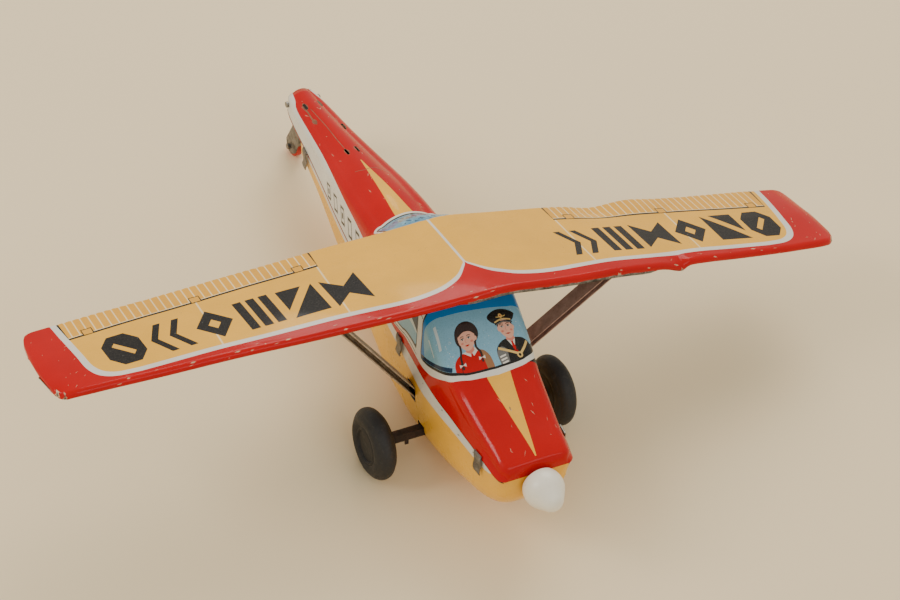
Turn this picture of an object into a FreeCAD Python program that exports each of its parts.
"""Tinplate toy airplane: pressed body shells, high wing, friction motor, turning spinner and tail wheel.

The airplane is drawn in its own level frame: nose towards -Y, +X to its left wing, +Z up, wheel tread at
Z 0. At the end everything is pitched nose-up until all three wheels touch the floor, and moved so that the
origin is the bottom centre of its bounding box.
"""
import FreeCAD, Part

import math
import os

V = FreeCAD.Vector

# ---- driving dimensions, millimetres ----
TIN = 0.5                 # sheet thickness of shells, wing and folded strips
GAP = 0.3                 # free space between pieces that don't touch
RUN = 0.05                # radial clearance of a shaft in its hole

WHEEL_R = 15.0            # main wheel
WHEEL_W = 8.8
TRACK = 81.0              # between the main wheels' middle planes
AXLE_Y = -27.0
AXLE_Z = WHEEL_R
SHAFT_R = 1.0             # every shaft and axle is 2 mm wire

TAIL_WHEEL_R = 5.0
TAIL_WHEEL_W = 3.6
TAIL_Y = 141.0
TAIL_Z = 46.5

WING_TIP_X = 170.8        # half span
WING_TE_Y = 11.0          # straight trailing edge
WING_TOP_Z = 88.2         # top of the wing at the middle
WING_SAG_LEFT = 0.018     # fall per millimetre on the -X half, nearly straight
WING_SAG_RIGHT = 0.204    # the +X half is bent down
WING_BEND = 14.0          # length over which that bend starts
WING_LIP = 2.6            # depth of the rolled leading edge and tips
WING_TE_LIP = 1.5
NOSE_R = 2.0              # rolled leading edge

SPIN_Y = -92.6            # middle of the spinner's round part
SPIN_Z = 27.4
SPIN_R = 8.2
SPIN_TIP_R = 5.0
SPIN_REACH = 5.9          # from the round part's centre to the tip's centre
PROP_DROP = 8.0           # degrees that the propeller shaft points below level

GEAR_M = 0.7              # gear module
AXLE_TEETH = 22
MID_PINION_TEETH = 10
MID_GEAR_TEETH = 24
FLY_PINION_TEETH = 10
CROWN_TEETH = 14
PROP_TEETH = 14
BACKLASH = 0.20
MOTOR_X = 11.0            # motor plates' middle planes
PLATE_T = 0.8
FLYWHEEL_R = 10.4
FLYWHEEL_W = 4.0

TAIL_SLOTS = [(-3.6, 121.0), (3.6, 121.0), (-2.5, 81.0), (2.5, 81.0), (6.2, 102.0)]
SLOT_WIDE = 1.0           # slots for the tailplane's tabs, through the top of the tail
SLOT_LONG = 4.4
TAB_AT = [-73.0, -8.5, 106.0]   # where the bent tabs sit along the seam, on both sides
TAB_LONG = 4.6
TAB_DROP = 7.5            # how far a tab hangs below the seam
TAB_RISE = 1.0
TAB_T = 0.6
RIM_STEP = 0.4            # the lower shell's rim sits this far inside the upper one's

STRUT_LOW = V(20.2, -18.2, 29.2)   # foot of the left strut, in its opening in the lower shell
STRUT_TOP_X = 61.0
STRUT_TOP_Y = -34.3
STRUT_WIDE = 3.0
STRUT_DEEP = 6.5
CHANNEL_WIDE = 3.6        # axle channels
CHANNEL_TALL = 3.5
CHANNEL_DROP = 1.7        # from the axle down to the channel's open edge
SPUR_X = 27.0             # small bent spur under each channel
SPUR_WIDE = 1.6
SPUR_DROP = 2.0

BUSH_R = 2.2              # bearing eyelet in the nose
SPIN_BACK = -4.0          # the spinner's flat back, along the propeller shaft
PIN_AT = (131.4, 74.6)    # cross pin at the tail's end
PIN_HOLE_R = 1.4

# ---- lines of the fuselage: (y, value), joined by a smooth curve that never overshoots ----
TOP = [
    (-87.4, 34.5), (-86.6, 36.8), (-85.0, 38.0), (-70.0, 45.4), (-53.5, 54.0), (-51.0, 56.0), (-46.0, 60.0),
    (-30.6, 72.0), (-17.0, 81.6), (-11.0, 83.8), (-4.0, 84.1), (11.0, 84.1), (18.0, 82.2), (24.0, 78.6),
    (30.0, 75.2), (45.0, 76.0), (60.0, 76.3), (80.0, 76.4), (100.0, 76.9), (120.0, 77.7), (134.0, 78.2)]
CROWN = [
    (-87.4, 0.3), (-70.0, 0.8), (-53.5, 1.2), (-40.0, 1.8), (-11.0, 1.6), (11.0, 1.5), (20.0, 2.5),
    (30.0, 3.1), (67.0, 3.0), (100.0, 2.4), (134.0, 1.2)]
SHOULDER = [
    (-87.4, 2.5), (-85.0, 3.6), (-75.0, 5.0), (-52.0, 6.0), (-30.0, 7.0), (-12.0, 7.0), (10.0, 6.5),
    (30.0, 5.5), (100.0, 4.6), (125.0, 3.6), (134.0, 2.4)]
WIDTH_TOP = [
    (-87.4, 12.8), (-85.0, 15.0), (-75.0, 16.2), (-63.0, 17.5), (-52.0, 18.5), (-40.0, 19.9), (-30.0, 20.4),
    (-10.0, 19.4), (10.0, 17.6), (32.0, 16.0), (50.0, 15.2), (67.0, 13.8), (85.0, 11.8), (100.0, 10.2),
    (115.0, 8.8), (124.0, 7.8), (130.0, 7.0), (134.0, 5.8)]
WIDTH_SEAM = [
    (-87.4, 14.0), (-86.6, 15.4), (-85.0, 16.5), (-75.0, 17.9), (-63.0, 18.8), (-52.0, 19.6), (-40.0, 21.0),
    (-30.0, 21.5), (-10.0, 20.6), (10.0, 18.8), (32.0, 16.9), (50.0, 15.9), (67.0, 14.4), (85.0, 12.3),
    (100.0, 10.6), (115.0, 9.1), (124.0, 8.1), (130.0, 7.3), (134.0, 6.2)]
SEAM = [
    (-87.4, 31.3), (-83.0, 32.4), (-77.0, 34.4), (-70.0, 36.0), (-61.0, 37.4), (-50.0, 39.6), (-40.0, 42.0),
    (-31.0, 44.5), (-20.0, 47.0), (-10.0, 48.3), (10.0, 49.2), (32.0, 51.4), (55.0, 56.2), (80.0, 61.3),
    (95.0, 64.0), (108.0, 66.2), (120.0, 67.8), (134.0, 70.2)]
WIDTH_KEEL = [
    (-87.4, 11.5), (-86.6, 13.0), (-84.0, 14.8), (-75.0, 16.9), (-60.0, 18.0), (-30.0, 20.0), (0.0, 18.6),
    (32.0, 16.0), (67.0, 13.4), (100.0, 9.8), (114.0, 8.6)]
KEEL = [
    (-87.4, 24.5), (-86.6, 21.5), (-84.0, 17.4), (-80.0, 13.4), (-75.0, 10.4), (-68.0, 8.0), (-58.0, 6.2),
    (-45.0, 5.4), (-20.0, 5.4), (0.0, 7.2), (20.0, 14.0), (40.0, 24.6), (80.0, 43.5), (114.0, 56.5)]
BILGE = [(-87.4, 5.0), (-84.0, 8.0), (-75.0, 11.5), (-58.0, 13.0), (0.0, 13.0), (40.0, 10.0), (114.0, 4.5)]

STATIONS = [
    -87.4, -86.6, -85.0, -82.5, -80.0, -75.0, -70.0, -63.0, -58.0, -53.5, -51.0, -46.0, -38.0, -30.6, -24.0,
    -17.0, -11.0, -4.0, 4.0, 11.0, 18.0, 24.0, 30.0, 38.0, 50.0, 64.0, 80.0, 96.0, 108.0, 114.0, 119.0,
    124.0, 127.0, 130.0, 132.0, 134.0]
LOWER_END = 114.0


def smooth(line, y):
    """Value of a line at y: a cubic through its points whose slopes never overshoot them."""
    if y <= line[0][0]:
        return line[0][1]
    if y >= line[-1][0]:
        return line[-1][1]
    steps = [(b[1] - a[1]) / (b[0] - a[0]) for a, b in zip(line, line[1:])]
    slopes = [steps[0]]
    for before, after in zip(steps, steps[1:]):
        slopes.append(0.0 if before * after <= 0 else 2 * before * after / (before + after))
    slopes.append(steps[-1])
    i = max(k for k in range(len(steps)) if line[k][0] <= y)
    (y0, v0), (y1, v1) = line[i], line[i + 1]
    h = y1 - y0
    t = (y - y0) / h
    return (v0 * (1 + 2 * t) * (1 - t) ** 2 + slopes[i] * h * t * (1 - t) ** 2
            + v1 * t * t * (3 - 2 * t) + slopes[i + 1] * h * t * t * (t - 1))


def arc(a, m, b):
    return Part.Arc(a, m, b).toShape()


def line(a, b):
    return Part.makeLine(a, b)


def corner(cx, cz, r, sx, sz, y):
    """Quarter turn about (cx, cz), from its side towards sx to its side towards sz."""
    k = math.sqrt(0.5)
    return V(cx + sx * r, y, cz), V(cx + sx * r * k, y, cz + sz * r * k), V(cx, y, cz + sz * r)


def upper_section(y, place, inset, skirt):
    """Outline of the upper body at y, drawn at place; skirt carries its open side past the seam."""
    top, r = smooth(TOP, y) - inset, max(smooth(SHOULDER, y) - inset, 0.6)
    wide, seam_w = smooth(WIDTH_TOP, y) - inset, smooth(WIDTH_SEAM, y) - inset
    seam, rise = smooth(SEAM, y) - skirt, smooth(CROWN, y)
    a, am, b = corner(wide - r, top - r, r, 1, 1, place)
    c, cm, d = corner(r - wide, top - r, r, -1, 1, place)
    right, left = V(seam_w, place, seam), V(-seam_w, place, seam)
    return Part.Wire([line(left, right), line(right, a), arc(a, am, b), arc(b, V(0, place, top + rise), d),
                      arc(d, cm, c), line(c, left)])


def lower_section(y, place, inset, skirt):
    """Outline of the lower body at y: straight sides, round bilges and a flat keel."""
    keel, r = smooth(KEEL, y) + inset, max(smooth(BILGE, y) - inset, 0.6)
    wide, seam_w = smooth(WIDTH_KEEL, y) - inset, smooth(WIDTH_SEAM, y) - inset - RIM_STEP
    wide = min(wide, seam_w)
    seam = smooth(SEAM, y) + skirt
    a, am, b = corner(wide - r, keel + r, r, 1, -1, place)
    c, cm, d = corner(r - wide, keel + r, r, -1, -1, place)
    right, left = V(seam_w, place, seam), V(-seam_w, place, seam)
    return Part.Wire([line(right, left), line(left, c), arc(c, cm, d), line(d, b), arc(b, am, a),
                      line(a, right)])


def shell(section, stations):
    """Thin pressed shell: the outside minus an inside that is a sheet's thickness smaller."""
    front, back = stations[0] + TIN, stations[-1] - TIN
    outside = Part.makeLoft([section(y, y, 0, 0) for y in stations], True, True)
    inside = Part.makeLoft([section(y, min(max(y, front), back), TIN, 2.0) for y in stations], True, True)
    return upright(outside).cut(upright(inside))


def upright(solid):
    """The same solid with its faces pointing outward."""
    if solid.Volume < 0:
        solid.reverse()
    return solid


def box(x0, x1, y0, y1, z0, z1):
    return Part.makeBox(x1 - x0, y1 - y0, z1 - z0, V(x0, y0, z0))


def rod(start, direction, length, radius):
    return Part.makeCylinder(radius, length, start, direction)


def on_x(x0, x1, y, z, radius):
    """Rod along X from x0 to x1."""
    return rod(V(x0, y, z), V(1, 0, 0), x1 - x0, radius)


# ---- body shells ----
def seam_tab(side, y):
    """Bent tin tab on the seam: it hangs from the upper shell's rim over the outside of the lower one."""
    wide = smooth(WIDTH_SEAM, y) - TAB_T / 2
    seam = smooth(SEAM, y)
    lean = math.degrees(math.atan2(smooth(WIDTH_SEAM, y + 1) - smooth(WIDTH_SEAM, y - 1), 2))
    x0, x1 = sorted((side * wide, side * (wide + TAB_T)))
    plate = box(x0, x1, y - TAB_LONG / 2, y + TAB_LONG / 2, seam - TAB_DROP, seam + TAB_RISE)
    plate.rotate(V(side * wide, y, seam), V(0, 0, 1), -side * lean)
    return plate


def upper_shell():
    body = shell(upper_section, STATIONS)
    for x, y in TAIL_SLOTS:
        top = smooth(TOP, y)
        body = body.cut(box(x - SLOT_WIDE / 2, x + SLOT_WIDE / 2, y - SLOT_LONG / 2, y + SLOT_LONG / 2,
                            top - 3.0, top + 3.0))
    body = body.cut(on_x(-20, 20, *PIN_AT, PIN_HOLE_R))
    for y in TAB_AT:
        for side in (-1, 1):
            body = body.fuse(seam_tab(side, y))
    return body.removeSplitter()


def lower_shell():
    body = shell(lower_section, [y for y in STATIONS if y <= LOWER_END])
    body = body.cut(nose_hole())
    free = 0.9            # space around a strut's foot and an axle channel
    half_deep, half_wide = STRUT_DEEP / 2 + free, CHANNEL_WIDE / 2 + free
    for side in (-1, 1):
        x0, x1 = sorted((side * (STRUT_LOW.x - 5.0), side * (STRUT_LOW.x + 3.0)))
        body = body.cut(box(x0, x1, STRUT_LOW.y - half_deep, STRUT_LOW.y + half_deep,
                            STRUT_LOW.z - 5.0, STRUT_LOW.z + 4.4))
        body = body.cut(box(x0, x1, AXLE_Y - half_wide, AXLE_Y + half_wide,
                            AXLE_Z - CHANNEL_DROP - free, AXLE_Z - CHANNEL_DROP + CHANNEL_TALL + free))
    return body


def prop_axis():
    """Unit vector along the propeller shaft, pointing forward out of the nose."""
    a = math.radians(PROP_DROP)
    return V(0, -math.cos(a), -math.sin(a))


def on_prop(forward):
    """Point on the propeller shaft's axis, forward of the spinner's centre."""
    return V(0, SPIN_Y, SPIN_Z) + prop_axis() * forward


BUSH_FRONT = SPIN_BACK - GAP    # the bush's front face, along the propeller shaft


def nose_hole():
    return rod(on_prop(-16.0), prop_axis(), 20.0, BUSH_R)


# ---- wing ----
def wing_top(x):
    """Height of the wing's upper face: nearly straight on one half, bent down on the other."""
    if x <= 0:
        return WING_TOP_Z + WING_SAG_LEFT * x
    if x < WING_BEND:
        return WING_TOP_Z - WING_SAG_RIGHT * x * x / (2 * WING_BEND)
    return WING_TOP_Z - WING_SAG_RIGHT * (x - WING_BEND / 2)


LEADING = [(0.0, -43.8), (40.0, -41.6), (100.0, -36.6), (150.0, -32.4), (160.0, -31.6), (165.4, -30.6),
           (168.6, -28.0), (170.2, -23.4), (170.8, -17.0)]
TRAILING = [(0.0, 11.0), (164.6, 11.0), (167.6, 10.4), (169.6, 7.0), (170.8, -2.0)]
BACK_LIP = [(0.0, WING_TE_LIP), (156.0, WING_TE_LIP), (166.0, WING_LIP), (171.0, WING_LIP)]
TIP_DROP = [(0.0, 0.0), (163.6, 0.0), (167.1, 0.2), (169.6, 0.7), (170.8, 1.3)]
WING_STATIONS = [0.0, 14.0, 30.0, 52.0, 74.0, 90.0, 104.0, 125.0, 146.0, 159.5, 163.6, 166.6, 168.6, 170.0,
                 170.8]


def wing_section(x, place, inset, skirt):
    """Outline of the wing at x: rolled leading edge, crowned top, and the small lip of the trailing edge."""
    front, back = smooth(LEADING, abs(x)) + inset, smooth(TRAILING, abs(x)) - inset
    top = wing_top(x) - smooth(TIP_DROP, abs(x)) - inset
    base = wing_top(x) - skirt
    drop = smooth(TIP_DROP, abs(x))
    nose_r, tail_r, rise = min(NOSE_R, WING_LIP - drop - 0.3) - inset, 0.9 - inset, 0.6
    back_lip = smooth(BACK_LIP, abs(x))
    k = math.sqrt(0.5)
    a, b = V(place, front, base - WING_LIP), V(place, front, top - nose_r)
    m = V(place, front + nose_r * (1 - k), top - nose_r * (1 - k))
    c, d = V(place, front + nose_r, top), V(place, back - tail_r, top - 0.4)
    e, f = V(place, back, top - 0.4 - tail_r), V(place, back, base - back_lip - 0.4)
    n = V(place, back - tail_r * (1 - k), top - 0.4 - tail_r * (1 - k))
    middle = V(place, (front + back) / 2 - 4, top + rise)
    return Part.Wire([line(a, b), arc(b, m, c), arc(c, middle, d), arc(d, n, e), line(e, f), line(f, a)])


def wing():
    stations = [-x for x in reversed(WING_STATIONS[1:])] + WING_STATIONS
    end = WING_TIP_X - TIN
    outside = Part.makeLoft([wing_section(x, x, 0, 0) for x in stations], True, True)
    inside = Part.makeLoft([wing_section(x, min(max(x, -end), end), TIN, 2.0) for x in stations], True, True)
    return upright(outside).cut(upright(inside))


# ---- folded strips: wing struts and axle channels ----
def folded_strip(start, end, width, depth):
    """Strip folded to a U from start to end: width across, depth from its open front to its fold."""
    along = (end - start).normalize()
    across = along.cross(V(0, 1, 0)).normalize()
    back = across.cross(along).normalize()
    if back.y < 0:
        back = back * -1
        across = across * -1
    length = (end - start).Length
    outer = Part.makeBox(width, depth, length, V(-width / 2, -depth / 2, 0))
    hollow = Part.makeBox(width - 2 * TIN, depth, length + 2, V(TIN - width / 2, -depth / 2 - TIN, -1))
    strip = outer.cut(hollow)
    placed = FreeCAD.Matrix(across.x, back.x, along.x, start.x, across.y, back.y, along.y, start.y,
                            across.z, back.z, along.z, start.z, 0, 0, 0, 1)
    return strip.transformGeometry(placed)


def strut(side):
    """Wing strut: from its slot in the lower shell to the wing's underside."""
    low = V(side * (STRUT_LOW.x - 1.6), STRUT_LOW.y + 0.7, STRUT_LOW.z - 1.6)
    high = V(side * STRUT_TOP_X, STRUT_TOP_Y, wing_top(side * STRUT_TOP_X) - TIN - 0.2)
    strip = folded_strip(low, high, STRUT_WIDE, STRUT_DEEP)
    x0, x1 = sorted((side * STRUT_TOP_X / 2, side * STRUT_TOP_X * 1.5))
    flat_end = box(x0, x1, STRUT_TOP_Y - 20, STRUT_TOP_Y + 30, high.z - 0.4, high.z + 20)
    return strip.cut(flat_end)


def gear_channel(side):
    """Axle channel: an upside-down U between the motor and the wheel, with a small bent spur under it."""
    inner, outer = MOTOR_X + PLATE_T / 2, TRACK / 2 - WHEEL_W / 2 - 0.8
    front, back = AXLE_Y - CHANNEL_WIDE / 2, AXLE_Y + CHANNEL_WIDE / 2
    low, high = AXLE_Z - CHANNEL_DROP, AXLE_Z - CHANNEL_DROP + CHANNEL_TALL
    x0, x1 = sorted((side * inner, side * outer))
    channel = box(x0, x1, front, back, low, high)
    channel = channel.cut(box(x0 - 1, x1 + 1, front + TIN, back - TIN, low - 1, high - TIN))
    spur = box(side * SPUR_X - SPUR_WIDE / 2, side * SPUR_X + SPUR_WIDE / 2, front, front + TIN,
               low - SPUR_DROP, low + 0.2)
    return channel.fuse(spur).removeSplitter()


# ---- wheels ----
def wheel_blank(r, w, hub_r, ridge):
    """Half of a rubber wheel's section, turned about X: round tread, ring and dished hub."""
    h = w / 2
    dish = 0.9
    pts = [V(-h + dish, 0, 0), V(-h + dish, 0, hub_r - ridge)]
    outline = [line(pts[0], pts[1]),
               line(pts[1], V(-h + 0.1, 0, hub_r - ridge / 2)),
               line(V(-h + 0.1, 0, hub_r - ridge / 2), V(-h + 0.5, 0, hub_r + ridge / 2)),
               arc(V(-h + 0.5, 0, hub_r + ridge / 2), V(-h, 0, (hub_r + r) / 2 + 0.2),
                    V(-h + 0.9, 0, r - 2.2)),
               arc(V(-h + 0.9, 0, r - 2.2), V(0, 0, r), V(h - 0.9, 0, r - 2.2)),
               arc(V(h - 0.9, 0, r - 2.2), V(h, 0, (hub_r + r) / 2 + 0.2), V(h - 0.5, 0, hub_r + ridge / 2)),
               line(V(h - 0.5, 0, hub_r + ridge / 2), V(h - 0.1, 0, hub_r - ridge / 2)),
               line(V(h - 0.1, 0, hub_r - ridge / 2), V(h - dish, 0, hub_r - ridge)),
               line(V(h - dish, 0, hub_r - ridge), V(h - dish, 0, 0)),
               line(V(h - dish, 0, 0), pts[0])]
    return Part.Face(Part.Wire(outline)).revolve(V(0, 0, 0), V(1, 0, 0), 360)


AXLE_END = TRACK / 2 + 2.0


def main_wheel(side):
    blank = wheel_blank(WHEEL_R, WHEEL_W, 7.6, 1.0)
    blank.translate(V(side * TRACK / 2, AXLE_Y, AXLE_Z))
    return blank.cut(on_x(-AXLE_END, AXLE_END, AXLE_Y, AXLE_Z, SHAFT_R))


# ---- gears ----
def involute(base_r, r):
    """Angle swept by the involute of base_r out to radius r."""
    roll = math.sqrt(max((r / base_r) ** 2 - 1, 0))
    return roll - math.atan(roll)


def gear_outline(teeth, thin, addendum=0.85):
    """Closed outline of a spur gear in the YZ plane, with a tooth centred on +Y."""
    pitch_r = teeth * GEAR_M / 2
    base_r = pitch_r * math.cos(math.radians(20))
    tip_r, root_r = pitch_r + addendum * GEAR_M, pitch_r - 1.2 * GEAR_M
    half = (math.pi * GEAR_M / 2 - thin) / 2 / pitch_r
    start_r = max(base_r, root_r + 0.05)
    radii = [start_r + (tip_r - start_r) * k / 4 for k in range(5)]
    flank = [(r, half + involute(base_r, pitch_r) - involute(base_r, r)) for r in radii]
    points = []
    for n in range(teeth):
        mid = 2 * math.pi * n / teeth
        side_a = [(root_r, -flank[0][1])] + [(r, -a) for r, a in flank]
        side_b = [(r, a) for r, a in reversed(flank)] + [(root_r, flank[0][1])]
        for r, a in side_a + side_b:
            points.append(V(0, r * math.cos(mid + a), r * math.sin(mid + a)))
    return Part.makePolygon(points + [points[0]])


def spur_gear(teeth, x0, x1, y, z, phase):
    """Spur gear on an axis along X; phase is the angle of one tooth from +Y towards +Z."""
    body = Part.Face(gear_outline(teeth, BACKLASH)).extrude(V(x1 - x0, 0, 0))
    body.rotate(V(0, 0, 0), V(1, 0, 0), math.degrees(phase))
    body.translate(V(x0, y, z))
    return body.cut(on_x(x0 - 1, x1 + 1, y, z, SHAFT_R))


def mate_phase(phase, teeth, other_teeth, direction):
    """Phase that puts a gap of the second gear on the line of centres where the first gear is."""
    offset = (direction - phase) * teeth / (2 * math.pi)
    part = offset - math.floor(offset)
    facing = direction + math.pi
    return facing + (part - 0.5) * 2 * math.pi / other_teeth


# ---- friction motor ----
def reach_to(y, z, distance, angle):
    return y + distance * math.cos(angle), z + distance * math.sin(angle)


FIRST_DISTANCE = GEAR_M * (AXLE_TEETH + MID_PINION_TEETH) / 2
SECOND_DISTANCE = GEAR_M * (MID_GEAR_TEETH + FLY_PINION_TEETH) / 2
FIRST_ANGLE = math.radians(68)
MID_Y, MID_Z = reach_to(AXLE_Y, AXLE_Z, FIRST_DISTANCE, FIRST_ANGLE)


def shaft_line_z(y):
    """Height of the propeller shaft's axis at y."""
    return SPIN_Z + (y - SPIN_Y) * math.tan(math.radians(PROP_DROP))


def second_angle():
    """Direction from the middle shaft that puts the flywheel shaft on the propeller shaft's axis."""
    low, high = math.radians(45), math.radians(90)
    for _ in range(60):
        mid = (low + high) / 2
        y, z = reach_to(MID_Y, MID_Z, SECOND_DISTANCE, mid)
        if z < shaft_line_z(y):
            low = mid
        else:
            high = mid
        if math.degrees(high - low) < 1e-9:
            break
    return low


SECOND_ANGLE = second_angle()
FLY_Y, FLY_Z = reach_to(MID_Y, MID_Z, SECOND_DISTANCE, SECOND_ANGLE)

AXLE_GEAR_X = (-3.6, -1.6)
MID_PINION_X = (-4.0, -1.2)
MID_GEAR_X = (8.2, 9.6)
FLY_PINION_X = (7.9, 9.9)
FLYWHEEL_X = (-10.2, -6.2)
CROWN_ROOT_X = 5.9
CROWN_BACK_X = 7.1
AXLE_PHASE = 0.0
MID_PHASE = mate_phase(AXLE_PHASE, AXLE_TEETH, MID_PINION_TEETH, FIRST_ANGLE)
MID_GEAR_PHASE = 0.1
FLY_PHASE = mate_phase(MID_GEAR_PHASE, MID_GEAR_TEETH, FLY_PINION_TEETH, SECOND_ANGLE)
PLATE_POINTS = [
    (-36.0, 7.6), (-11.0, 7.6), (-6.0, 12.8), (-6.0, 34.0), (-13.0, 43.5), (-26.0, 43.5), (-36.0, 33.0)]
TIE_BARS = [(-10.0, 12.0), (-32.4, 30.5), (-8.6, 28.0)]


def motor_plate(side):
    """Stamped side plate of the friction motor, with holes for the three shafts and the tie bars."""
    x = side * MOTOR_X - PLATE_T / 2
    points = [V(x, y, z) for y, z in PLATE_POINTS]
    plate = Part.Face(Part.makePolygon(points + [points[0]])).extrude(V(PLATE_T, 0, 0))
    foot = box(*sorted((side * (MOTOR_X + PLATE_T / 2), side * (MOTOR_X - 3.4))), -24.0, -12.0,
               PLATE_POINTS[0][1], PLATE_POINTS[0][1] + PLATE_T)
    plate = plate.fuse(foot)
    for y, z in ((AXLE_Y, AXLE_Z), (MID_Y, MID_Z), (FLY_Y, FLY_Z)):
        plate = plate.cut(on_x(x - 1, x + 2, y, z, SHAFT_R + RUN))
    for y, z in TIE_BARS:
        plate = plate.cut(on_x(x - 1, x + 2, y, z, SHAFT_R))
    return plate.removeSplitter()


def tie_bars():
    """Three bars riveted into both plates."""
    end = MOTOR_X + PLATE_T / 2
    return Part.makeCompound([on_x(-end, end, y, z, SHAFT_R) for y, z in TIE_BARS])


def shaft_bracket():
    """Cross plate in front of the motor that holds the rear end of the propeller shaft."""
    inner = MOTOR_X - PLATE_T / 2
    y = -35.8
    plate = box(-inner, inner, y, y + PLATE_T, 24.0, 30.2)
    stem = box(-5.0, 5.0, y, y + PLATE_T, 24.0, 40.5)
    hole = rod(on_prop(-(y - SPIN_Y) / math.cos(math.radians(PROP_DROP)) - 4), prop_axis(), 8, SHAFT_R + RUN)
    return plate.fuse(stem).removeSplitter().cut(hole)


def crown_gear():
    """Face gear on the flywheel shaft: a disc with a ring of teeth that point at the propeller pinion."""
    pitch_r = CROWN_TEETH * GEAR_M / 2
    tip_x, long = CROWN_ROOT_X - 1.2, 0.9
    disc = on_x(CROWN_ROOT_X, CROWN_BACK_X, 0, 0, pitch_r + 0.9)
    for n in range(CROWN_TEETH):
        tooth = Part.makeBox(CROWN_ROOT_X + 0.2 - tip_x, long, 0.5, V(tip_x, pitch_r - long / 2, -0.25))
        tooth.rotate(V(0, 0, 0), V(1, 0, 0), 360.0 * n / CROWN_TEETH)
        disc = disc.fuse(tooth)
    disc = disc.removeSplitter()
    disc.rotate(V(0, 0, 0), V(1, 0, 0), 180.0 + PROP_DROP)
    disc.translate(V(0, FLY_Y, FLY_Z))
    return disc.cut(on_x(0, 20, FLY_Y, FLY_Z, SHAFT_R))


def along_prop(shape):
    """Moves a shape drawn along +X, from the spinner's centre, onto the propeller shaft's axis."""
    shape.rotate(V(0, 0, 0), V(0, 0, 1), -90)
    shape.rotate(V(0, 0, 0), V(1, 0, 0), PROP_DROP)
    shape.translate(V(0, SPIN_Y, SPIN_Z))
    return shape


PINION_AT = -((FLY_Y - SPIN_Y) / math.cos(math.radians(PROP_DROP))) + CROWN_TEETH * GEAR_M / 2
PINION_LONG = 1.0
SHAFT_BACK = PINION_AT - PINION_LONG / 2 - 0.4
SHAFT_FRONT = 2.0


def prop_shaft():
    return rod(on_prop(SHAFT_BACK), prop_axis(), SHAFT_FRONT - SHAFT_BACK, SHAFT_R)


def prop_pinion():
    """Pinion on the propeller shaft, with a gap facing the crown gear's tooth."""
    blank = Part.Face(gear_outline(PROP_TEETH, 0.5, 0.55)).extrude(V(PINION_LONG, 0, 0))
    blank.rotate(V(0, 0, 0), V(1, 0, 0), 180.0 / PROP_TEETH)
    blank.translate(V(PINION_AT - PINION_LONG / 2, 0, 0))
    return along_prop(blank.cut(on_x(-200, 50, 0, 0, SHAFT_R)))


def prop_collar():
    """Stop ring inside the nose that keeps the propeller shaft from sliding forward."""
    back = BUSH_FRONT - 6.0
    return along_prop(on_x(back - 2.0, back, 0, 0, 2.6).cut(on_x(back - 3, back + 1, 0, 0, SHAFT_R)))


def nose_bush():
    """Flanged bearing eyelet in the nose hole."""
    sleeve = on_x(BUSH_FRONT - 5.4, BUSH_FRONT, 0, 0, BUSH_R)
    flange = on_x(BUSH_FRONT - 0.45, BUSH_FRONT, 0, 0, BUSH_R + 1.2)
    return along_prop(sleeve.fuse(flange).cut(on_x(-40, 20, 0, 0, SHAFT_R + RUN)))


def spinner():
    """Blunt plastic egg, blind-bored for the propeller shaft, with a flat back."""
    back = SPIN_BACK
    lean = math.asin((SPIN_R - SPIN_TIP_R) / SPIN_REACH)
    sx, cx = math.sin(lean), math.cos(lean)
    back_h = math.sqrt(SPIN_R ** 2 - back ** 2)
    big, tip = V(SPIN_R * sx, 0, SPIN_R * cx), V(SPIN_REACH + SPIN_TIP_R * sx, 0, SPIN_TIP_R * cx)
    mid_a = (math.atan2(back_h, back) + math.atan2(big.z, big.x)) / 2
    tip_a = math.atan2(tip.z, tip.x - SPIN_REACH) / 2
    end = V(SPIN_REACH + SPIN_TIP_R, 0, 0)
    outline = [line(V(back, 0, 0), V(back, 0, back_h)),
               arc(V(back, 0, back_h), V(SPIN_R * math.cos(mid_a), 0, SPIN_R * math.sin(mid_a)), big),
               line(big, tip),
               arc(tip, V(SPIN_REACH + SPIN_TIP_R * math.cos(tip_a), 0, SPIN_TIP_R * math.sin(tip_a)), end),
               line(end, V(back, 0, 0))]
    egg = Part.Face(Part.Wire(outline)).revolve(V(0, 0, 0), V(1, 0, 0), 360)
    return along_prop(egg.cut(on_x(-20, SHAFT_FRONT, 0, 0, SHAFT_R)))


# ---- tail ----
TAIL_ARM = [
    (121.0, 67.5), (131.5, 70.2), (138.0, 58.0), (144.2, 49.0), (143.5, 44.6), (139.4, 43.2),
    (135.0, 46.0), (129.0, 57.0), (121.0, 62.5)]


def tail_bracket():
    """Folded bracket under the tail: two arms down to the tail wheel, joined by a bridge inside the tail."""
    half = TAIL_WHEEL_W / 2 + GAP
    arms = []
    for x in (-half - TIN, half):
        points = [V(x, y, z) for y, z in TAIL_ARM]
        arms.append(Part.Face(Part.makePolygon(points + [points[0]])).extrude(V(TIN, 0, 0)))
    bridge = Part.makeBox(2 * half + 2 * TIN, 10.0, TIN, V(-half - TIN, 0, 0))
    bridge.rotate(V(0, 0, 0), V(1, 0, 0), math.degrees(math.atan2(2.7, 10.5)))
    bridge.translate(V(0, 121.0, 67.0))
    web = Part.makeBox(2 * half + 2 * TIN, TIN, 8.0, V(-half - TIN, 0, 0))
    web.rotate(V(0, 0, 0), V(1, 0, 0), math.degrees(math.atan2(6.0, 11.0)))
    web.translate(V(0, 132.2, 51.1))
    body = arms[0].fuse([arms[1], bridge, web]).removeSplitter()
    return body.cut(on_x(-10, 10, TAIL_Y, TAIL_Z, SHAFT_R * 0.75))


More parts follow.
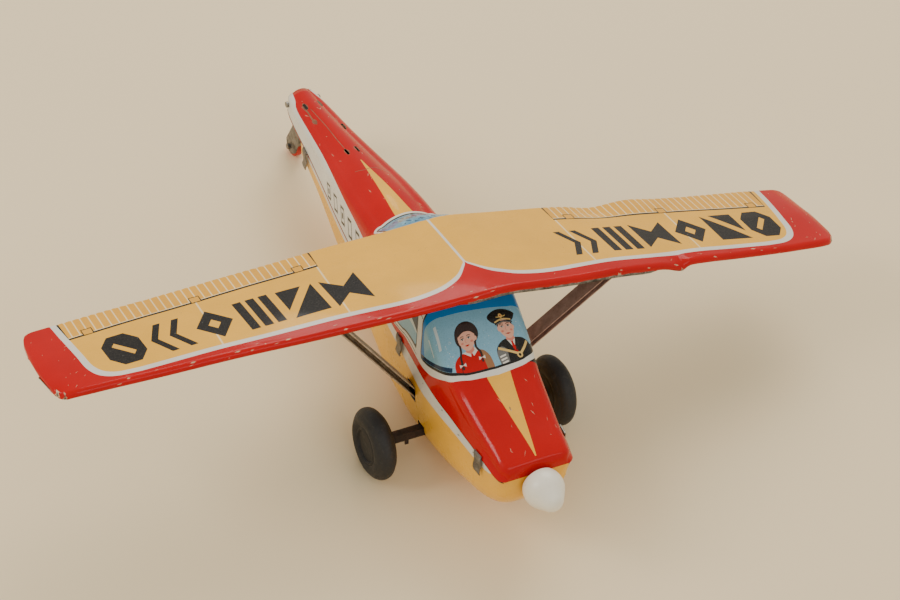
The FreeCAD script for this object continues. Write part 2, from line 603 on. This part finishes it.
def tail_axle():
    reach = TAIL_WHEEL_W / 2 + GAP + TIN + 0.7
    heads = [on_x(side * reach - 0.4, side * reach + 0.4, TAIL_Y, TAIL_Z, 1.3) for side in (-1, 1)]
    return on_x(-reach, reach, TAIL_Y, TAIL_Z, SHAFT_R * 0.75).fuse(heads).removeSplitter()


def tail_wheel():
    half = TAIL_WHEEL_W / 2
    disc = on_x(-half, half, 0, 0, TAIL_WHEEL_R)
    disc = disc.makeFillet(0.9, [e for e in disc.Edges if abs(e.BoundBox.XLength) < 1e-6 and e.Length > 20])
    disc.translate(V(0, TAIL_Y, TAIL_Z))
    return disc.cut(on_x(-half - 1, half + 1, TAIL_Y, TAIL_Z, SHAFT_R * 0.75 + RUN))


def tail_pin():
    """Cross pin at the tail's end, with a small head on each side."""
    y, z = PIN_AT
    reach = 7.0
    heads = [rod(V(side * reach, y, z), V(side, 0, 0), 0.9, 1.3) for side in (-1, 1)]
    return on_x(-reach - 0.4, reach + 0.4, y, z, 0.7).fuse(heads).removeSplitter()


# ---- everything together ----
SHAFT_END = MOTOR_X + PLATE_T / 2 + 0.6
PARTS = {
    "upper_shell": upper_shell,
    "lower_shell": lower_shell,
    "wing": wing,
    "strut_left": lambda: strut(1),
    "strut_right": lambda: strut(-1),
    "gear_channel_left": lambda: gear_channel(1),
    "gear_channel_right": lambda: gear_channel(-1),
    "motor_plate_left": lambda: motor_plate(1),
    "motor_plate_right": lambda: motor_plate(-1),
    "motor_tie_bars": tie_bars,
    "shaft_bracket": shaft_bracket,
    "nose_bush": nose_bush,
    "tail_bracket": tail_bracket,
    "tail_axle": tail_axle,
    "tail_pin": tail_pin,
    "main_axle": lambda: on_x(-AXLE_END, AXLE_END, AXLE_Y, AXLE_Z, SHAFT_R),
    "wheel_left": lambda: main_wheel(1),
    "wheel_right": lambda: main_wheel(-1),
    "axle_gear": lambda: spur_gear(AXLE_TEETH, *AXLE_GEAR_X, AXLE_Y, AXLE_Z, AXLE_PHASE),
    "middle_shaft": lambda: on_x(-SHAFT_END, SHAFT_END, MID_Y, MID_Z, SHAFT_R),
    "middle_pinion": lambda: spur_gear(MID_PINION_TEETH, *MID_PINION_X, MID_Y, MID_Z, MID_PHASE),
    "middle_gear": lambda: spur_gear(MID_GEAR_TEETH, *MID_GEAR_X, MID_Y, MID_Z, MID_GEAR_PHASE),
    "flywheel_shaft": lambda: on_x(-SHAFT_END, SHAFT_END, FLY_Y, FLY_Z, SHAFT_R),
    "flywheel_pinion": lambda: spur_gear(FLY_PINION_TEETH, *FLY_PINION_X, FLY_Y, FLY_Z, FLY_PHASE),
    "flywheel": lambda: on_x(*FLYWHEEL_X, FLY_Y, FLY_Z, FLYWHEEL_R).cut(
        on_x(-20, 0, FLY_Y, FLY_Z, SHAFT_R)),
    "crown_gear": crown_gear,
    "prop_shaft": prop_shaft,
    "prop_pinion": prop_pinion,
    "prop_collar": prop_collar,
    "spinner": spinner,
    "tail_wheel": tail_wheel,
}


def stance():
    """Nose-up angle, in radians, at which the main and tail wheels all touch one floor."""
    along, up = TAIL_Y - AXLE_Y, TAIL_Z - AXLE_Z
    return math.atan2(up, along) + math.asin((WHEEL_R - TAIL_WHEEL_R) / math.hypot(along, up))


def to_floor(shape):
    """Pitches a shape from the airplane's level frame to its stance on three wheels."""
    turned = shape.copy()
    turned.rotate(V(0, AXLE_Y, AXLE_Z), V(1, 0, 0), -math.degrees(stance()))
    return turned


def main():
    os.makedirs("parts", exist_ok=True)
    made = {name: to_floor(make()) for name, make in PARTS.items()}
    points = [p for shape in made.values() for p in shape.tessellate(0.02)[0]]
    low = [min(p[i] for p in points) for i in range(3)]
    high = [max(p[i] for p in points) for i in range(3)]
    shift = V(-(low[0] + high[0]) / 2, -(low[1] + high[1]) / 2, -low[2])
    for name, shape in made.items():
        shape.translate(shift)
        solid = shape.Solids[0] if len(shape.Solids) == 1 else Part.makeCompound(shape.Solids)
        solid.exportStep("parts/" + name + ".step")
        print(name, len(shape.Solids), round(shape.Volume, 1), shape.isValid())
    print("size", [round(h - l, 2) for l, h in zip(low, high)], "stance", round(math.degrees(stance()), 3))
    print("shift", [round(v, 4) for v in shift])
    slots_y = TAIL_SLOTS[0][1]
    places = {"axle": V(0, AXLE_Y, AXLE_Z), "middle": V(0, MID_Y, MID_Z), "flywheel": V(0, FLY_Y, FLY_Z),
              "spinner": on_prop(0), "spinner_tip": on_prop(10), "tail_wheel": V(0, TAIL_Y, TAIL_Z),
              "rear_slots": V(0, slots_y, smooth(TOP, slots_y) + smooth(CROWN, slots_y))}
    for name, place in places.items():
        point = Part.Vertex(place)
        moved = to_floor(point).Point + shift
        print("place", name, [round(v, 4) for v in moved])


main()
